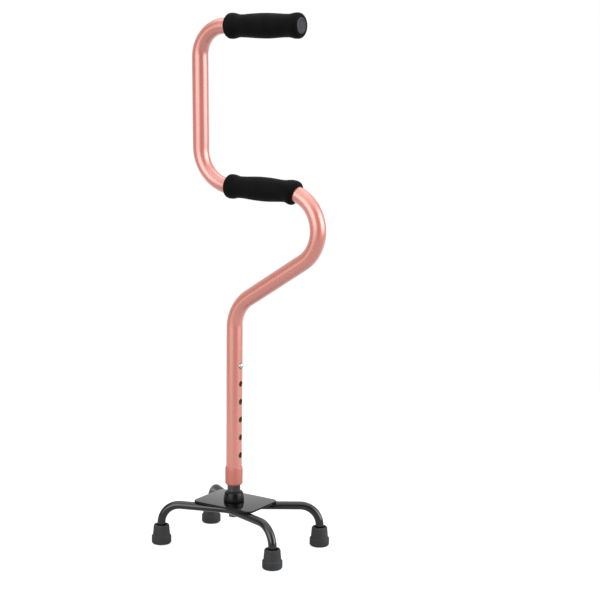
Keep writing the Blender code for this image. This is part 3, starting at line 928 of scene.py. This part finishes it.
# ------------------------------------------------------------------ bolt under the hub
def hub_bolt():
    washer_z, shank_r = BOLT_LOW + 4.4, 3.95
    profile = [
        (0, washer_z), (7.8, washer_z, 0.3), (7.8, BOLT_LOW + 6.2, 0.5), (7.0, BOLT_LOW + 6.7, 0.3),
        (shank_r, BOLT_LOW + 6.7), (shank_r, BOLT_TOP - 1.0), (3.1, BOLT_TOP, 0.2), (0, BOLT_TOP),
    ]
    bolt = finished("hub_bolt_turned", turned(rounded(profile), 48))
    hex_r, hex_top = 7.45, BOLT_LOW + 5.2
    hexagon = [
        (0, BOLT_LOW), (6.4, BOLT_LOW), (hex_r, BOLT_LOW + 0.75), (hex_r, hex_top), (0, hex_top),
    ]
    cut(bolt, turned(hexagon, 6), "UNION")
    dressed(bolt, ZINC, "base", "hub_bolt")


# ------------------------------------------------------------------ weld beads, plate to leg tubes
def weld_bead(name, run, start, end, side):
    """A short rippled bead between a leg tube and the plate above it; side 1 is left of the run."""
    aside, above = 4.35, 4.75  # from the tube's axis
    half_width, half_height = 1.75, 1.45
    ripple_depth, ripple_rate = 0.10, 3.4  # share of the size, radians per mm
    segments, steps = 16, 22
    bm = bmesh.new()
    rings = []
    for k in range(steps + 1):
        t = k / steps
        point, way = run.at(start + (end - start) * t)
        across = Vector((-way.y, way.x, 0)).normalized() * side
        centre = point + across * aside + Vector((0, 0, above))
        swell = max(0.02, math.sin(math.pi * t)) ** 0.35
        size = swell * (1 + ripple_depth * math.sin(t * (end - start) * ripple_rate))
        ring = []
        for j in range(segments):
            a = 2 * math.pi * j / segments
            rise = Vector((0, 0, half_height * size * math.sin(a)))
            ring.append(bm.verts.new(centre + across * (half_width * size * math.cos(a)) + rise))
        rings.append(ring)
    skin(bm, rings)
    dressed(finished(name, bm, 60), LEGS, "base", None)


def weld_pair(end, run, near, far, side):
    """Two beads, from near to far on either side of the bow's middle."""
    middle = run.length / 2
    weld_bead(f"weld_{end}_left", run, middle - far, middle - near, side)
    weld_bead(f"weld_{end}_right", run, middle + near, middle + far, side)


# ------------------------------------------------------------------ materials of CAD nodes that stay
def dress_kept_nodes():
    kept = {"collet_bush": NYLON, "guide_bush": NYLON, "tube_insert": ZINC, "spacer_sleeve": ZINC}
    kept.update({"tip_disc_" + foot: ZINC for foot in FEET})
    for node, material in kept.items():
        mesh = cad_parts[node].data
        mesh.materials.clear()
        mesh.materials.append(material)
        smooth(mesh)


handle_tube()
upper_grip()
lower_grip()
end_plug()
locking_collar()
lower_tube()
snap_button()
base_hub()
base_plate()
front_run = leg_bow("front", FRONT_VERTEX_Y)
rear_run = leg_bow("rear", REAR_VERTEX_Y)
rubber_tips()
hub_bolt()
weld_pair("front", front_run, near=22, far=31, side=-1)
weld_pair("rear", rear_run, near=26, far=38, side=1)
dress_kept_nodes()

# ------------------------------------------------------------------ camera
BASE_CENTRE = SHAFT + Vector((0, 16.0, 0))
MIDDLE = BASE_CENTRE * MM
AROUND = math.radians(34.987)  # from -Y towards +X
TO_CAMERA = Vector((math.sin(AROUND), -math.cos(AROUND), 0))
TO_RIGHT = Vector((math.cos(AROUND), math.sin(AROUND), 0))


def place_camera():
    """Looks down and a little aside of the base's centre; distance and height are in metres."""
    down, roll, turn = (math.radians(v) for v in (9.689, 0.674, 2.162))
    distance, height = 2.1055, 0.7056
    spot = Vector((
        BASE_CENTRE.x * MM + distance * math.sin(AROUND),
        BASE_CENTRE.y * MM - distance * math.cos(AROUND),
        height,
    ))
    ahead = Vector((-math.sin(AROUND - turn), math.cos(AROUND - turn), 0))
    aside = Vector((ahead.y, -ahead.x, 0))
    up = Vector((0, 0, 1))
    forward = ahead * math.cos(down) - up * math.sin(down)
    above = ahead * math.sin(down) + up * math.cos(down)
    right = aside * math.cos(roll) + above * math.sin(roll)
    top = above * math.cos(roll) - aside * math.sin(roll)
    data = bpy.data.cameras.new("camera")
    data.sensor_width, data.lens = 36.0, 94.182
    data.clip_start, data.clip_end = 0.05, 40.0
    made = bpy.data.objects.new("camera", data)
    rows = [(right[k], top[k], -forward[k], spot[k]) for k in range(3)]
    made.matrix_world = Matrix((*rows, (0, 0, 0, 1)))
    bpy.context.scene.collection.objects.link(made)
    bpy.context.scene.camera = made


# ------------------------------------------------------------------ brightness of the studio
BASE_LIGHT, BACK_LIGHT, TOP_LIGHT = 0.28, 0.45, 2.2
LEFT_BOX, RIGHT_BOX = 5.1, 7.0
SEEN = 1.0  # the surround as the camera sees it
LAMPS = 0.92  # share of each box's brightness given to its lamp
TOP_LAMP = 1.4  # the same for the top light
FAR = 6.0  # distance of the lamps, in metres
FLOOR_COLOUR = 0.34
FLOOR_LIFT, FLOOR_SHEEN, FLOOR_BOUNCE = 0.66, 0.30, 0.35  # glow to camera, glossy, diffuse rays
FLOOR_BEYOND = 0.60  # mirrored brightness below the horizon

# degrees: middle and half width round the object, bottom and top edge, each with its softness;
# lean turns the box further round above the horizon
SoftBox = namedtuple("SoftBox", "middle lean half half_soft bottom bottom_soft top top_soft")
LEFT_SHAPE = SoftBox(
    middle=-55, lean=13, half=27, half_soft=17, bottom=-6.5, bottom_soft=14.5, top=36, top_soft=20
)
RIGHT_SHAPE = SoftBox(
    middle=68, lean=7, half=26, half_soft=17, bottom=-4.5, bottom_soft=14, top=36, top_soft=20
)


# ------------------------------------------------------------------ pale floor fading into the surround
def floor_material():
    material = bpy.data.materials.new("pale_floor")
    material.use_nodes = True
    # its glow is only seen, so sampling it as a lamp would add noise
    material.cycles.emission_sampling = "NONE"
    tree = material.node_tree
    tree.nodes.clear()
    new, link = tree.nodes.new, tree.links.new
    out = new("ShaderNodeOutputMaterial")
    diffuse = new("ShaderNodeBsdfDiffuse")
    diffuse.inputs["Color"].default_value = (FLOOR_COLOUR, FLOOR_COLOUR, FLOOR_COLOUR, 1)
    clear = new("ShaderNodeBsdfTransparent")
    mix = new("ShaderNodeMixShader")
    place = new("ShaderNodeTexCoord")
    length = new("ShaderNodeVectorMath")
    length.operation = "LENGTH"
    fade = new("ShaderNodeMapRange")
    fade.interpolation_type = "SMOOTHERSTEP"
    fade.inputs["From Min"].default_value, fade.inputs["From Max"].default_value = 0.45, 1.25
    link(place.outputs["Object"], length.inputs[0])
    link(length.outputs["Value"], fade.inputs["Value"])
    # seen from underneath the floor is clear, so the object's underside can be looked at
    side = new("ShaderNodeNewGeometry")
    gone = math_node(tree, "MAXIMUM", fade.outputs["Result"], side.outputs["Backfacing"])
    link(gone, mix.inputs["Fac"])
    # the glow differs for camera, glossy and diffuse rays
    glow = new("ShaderNodeEmission")
    rays = new("ShaderNodeLightPath").outputs
    both = new("ShaderNodeAddShader")
    sheen = math_node(
        tree, "MULTIPLY_ADD", rays["Is Glossy Ray"], FLOOR_SHEEN / FLOOR_LIFT, rays["Is Camera Ray"]
    )
    bounce = math_node(
        tree, "MULTIPLY_ADD", rays["Is Diffuse Ray"], FLOOR_BOUNCE / FLOOR_LIFT, sheen
    )
    link(math_node(tree, "MULTIPLY", bounce, FLOOR_LIFT), glow.inputs["Strength"])
    link(diffuse.outputs[0], both.inputs[0])
    link(glow.outputs[0], both.inputs[1])
    link(both.outputs[0], mix.inputs[1])
    link(clear.outputs[0], mix.inputs[2])
    link(mix.outputs[0], out.inputs["Surface"])
    return material


def pale_floor():
    bm = bmesh.new()
    bmesh.ops.create_circle(bm, cap_ends=True, segments=96, radius=1.3)
    mesh = bpy.data.meshes.new("floor")
    bm.to_mesh(mesh)
    bm.free()
    made = bpy.data.objects.new("floor", mesh)
    made.location = (MIDDLE.x, MIDDLE.y, -0.0004)
    bpy.context.scene.collection.objects.link(made)
    mesh.materials.append(floor_material())


# ------------------------------------------------------------------ soft studio light
def aim(degrees):
    """A level direction, turned from the camera's side towards the right of the picture."""
    a = math.radians(degrees)
    return TO_CAMERA * math.cos(a) + TO_RIGHT * math.sin(a)


def room_light():
    """The surround: plain to the camera, with soft boxes mirrored in glossy surfaces."""
    world = bpy.data.worlds.new("studio")
    bpy.context.scene.world = world
    world.use_nodes = True
    tree = world.node_tree
    tree.nodes.clear()
    new, link = tree.nodes.new, tree.links.new
    out = new("ShaderNodeOutputWorld")
    way = new("ShaderNodeTexCoord").outputs["Generated"]

    def calc(operation, a, b=0.0):
        return math_node(tree, operation, a, b)

    def along(direction):
        made = new("ShaderNodeVectorMath")
        made.operation = "DOT_PRODUCT"
        made.inputs[1].default_value = Vector(direction).normalized()
        link(way, made.inputs[0])
        return made.outputs["Value"]

    def soft_step(value, low, high):
        """0 below low and 1 above high, or the other way round when high is the lower."""
        made = new("ShaderNodeMapRange")
        made.interpolation_type = "SMOOTHSTEP"
        made.inputs["From Min"].default_value = min(low, high)
        made.inputs["From Max"].default_value = max(low, high)
        made.inputs["To Min"].default_value = 1 if high < low else 0
        made.inputs["To Max"].default_value = 0 if high < low else 1
        link(value, made.inputs["Value"])
        return made.outputs["Result"]

    def soft_box(box):
        """1 inside the box, falling softly to 0 outside."""
        rise = calc("ARCSINE", along((0, 0, 1)))
        spread = calc("ARCTAN2", along(aim(box.middle + 90)), along(aim(box.middle)))

        def degree_step(value, low, high):
            return soft_step(value, math.radians(low), math.radians(high))

        lean_here = calc("MULTIPLY", degree_step(rise, -12, -2), math.radians(box.lean))
        spread = calc("ABSOLUTE", calc("SUBTRACT", spread, lean_here))
        shape = degree_step(spread, box.half + box.half_soft, box.half - box.half_soft)
        for low, high in (
            (box.bottom - box.bottom_soft, box.bottom + box.bottom_soft),
            (box.top + box.top_soft, box.top - box.top_soft),
        ):
            shape = calc("MULTIPLY", shape, degree_step(rise, low, high))
        return shape

    def added(total, shape, level):
        return calc("ADD", total, calc("MULTIPLY", shape, level))

    rays = new("ShaderNodeLightPath").outputs
    boxes = calc("MULTIPLY", soft_box(LEFT_SHAPE), LEFT_BOX)
    boxes = added(boxes, soft_box(RIGHT_SHAPE), RIGHT_BOX)
    boxes = added(boxes, soft_step(along((0, 0, 1)), 0.45, 0.95), TOP_LIGHT)
    boxes = added(boxes, soft_step(along((0, 0, 1)), -0.12, -0.38), FLOOR_BEYOND)
    # a mirror-smooth surface sees them dimmer, so the flat plate stays dark from every side
    dimmer = calc("SUBTRACT", 1.0, calc("MULTIPLY", rays["Is Singular Ray"], 0.9))
    boxes = calc("MULTIPLY", calc("MULTIPLY", boxes, rays["Is Glossy Ray"]), dimmer)
    total = calc("ADD", BASE_LIGHT, boxes)
    below = calc("MULTIPLY", soft_step(along((0, 0, 1)), 0.0, -0.2), rays["Is Diffuse Ray"])
    total = added(total, below, FLOOR_BOUNCE)
    total = added(total, soft_step(along(aim(180)), -0.1, 0.7), BACK_LIGHT)

    def background():
        made = new("ShaderNodeBackground")
        made.inputs["Color"].default_value = (1.0, 1.0, 1.0, 1)
        return made

    room = background()
    link(total, room.inputs["Strength"])
    seen = background()
    seen.inputs["Strength"].default_value = SEEN
    pick = new("ShaderNodeMixShader")
    link(rays["Is Camera Ray"], pick.inputs["Fac"])
    link(room.outputs[0], pick.inputs[1])
    link(seen.outputs[0], pick.inputs[2])
    link(pick.outputs[0], out.inputs["Surface"])
    world.cycles.sampling_method = "NONE"


def lamp(name, towards, width, height, level):
    """A far rectangular lamp with a given surface glow, not seen in reflections."""
    data = bpy.data.lights.new(name, "AREA")
    data.shape, data.size, data.size_y = "RECTANGLE", width, height
    data.energy = level * math.pi * width * height
    made = bpy.data.objects.new(name, data)
    bpy.context.scene.collection.objects.link(made)
    made.location = MIDDLE + Vector((0, 0, 0.36)) + Vector(towards).normalized() * FAR
    made.rotation_mode = "QUATERNION"
    made.rotation_quaternion = Vector(towards).to_track_quat("Z", "Y")
    made.visible_glossy = False
    made.visible_camera = False


def box_lamp(name, box, level):
    """A lamp of a soft box's size and place, to light the dull surfaces."""
    rise = math.radians((box.bottom + box.top) / 2)
    towards = aim(box.middle + box.lean) * math.cos(rise) + Vector((0, 0, math.sin(rise)))
    width = 2 * FAR * math.tan(math.radians(box.half))
    height = 2 * FAR * math.tan(math.radians((box.top - box.bottom) / 2))
    lamp(name, towards, width, height, level)


place_camera()
pale_floor()
room_light()
box_lamp("lamp_left", LEFT_SHAPE, LEFT_BOX * LAMPS)
box_lamp("lamp_right", RIGHT_SHAPE, RIGHT_BOX * LAMPS)
lamp("lamp_top", (0, 0, 1), width=8.0, height=8.0, level=TOP_LIGHT * TOP_LAMP)
bpy.context.scene.view_settings.view_transform = "Standard"
bpy.context.scene.view_settings.look = "None"
